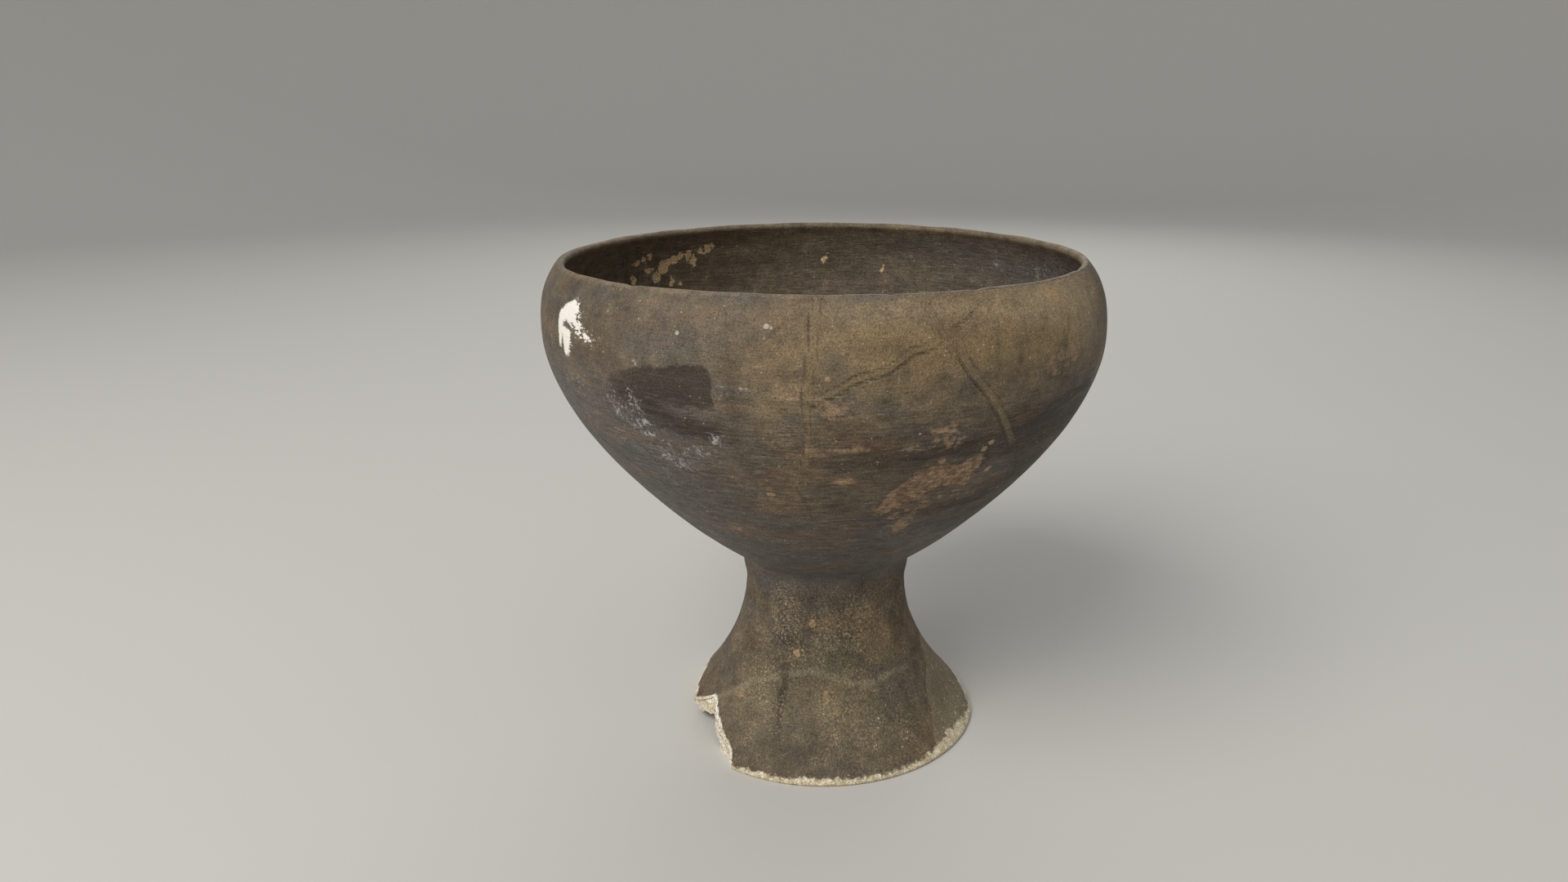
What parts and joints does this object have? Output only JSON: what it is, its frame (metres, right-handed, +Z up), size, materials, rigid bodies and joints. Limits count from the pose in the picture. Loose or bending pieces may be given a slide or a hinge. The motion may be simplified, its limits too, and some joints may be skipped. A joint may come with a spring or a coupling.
{
  "type": "footed bowl",
  "caption": "Deep round bowl on a hollow flaring foot, hand-built in burnished clay, part of the foot's edge broken away; holds food or drink.",
  "frame": {"origin": "centre of the foot's ring, on the plane the bowl stands on", "axes": "+Z up the bowl's axis; -Y the front, as pictured; +X to the right seen from the front, so the broken edge of the foot is at -X"},
  "size_m": [0.2496, 0.2496, 0.227],
  "materials": {
    "burnished_clay": "fired clay, grey-brown to olive-ochre, smoothed and burnished, worn and mended, low sheen"
  },
  "bodies": {
    "root": {"footed_bowl": "burnished_clay"}
  },
  "joints": []
}
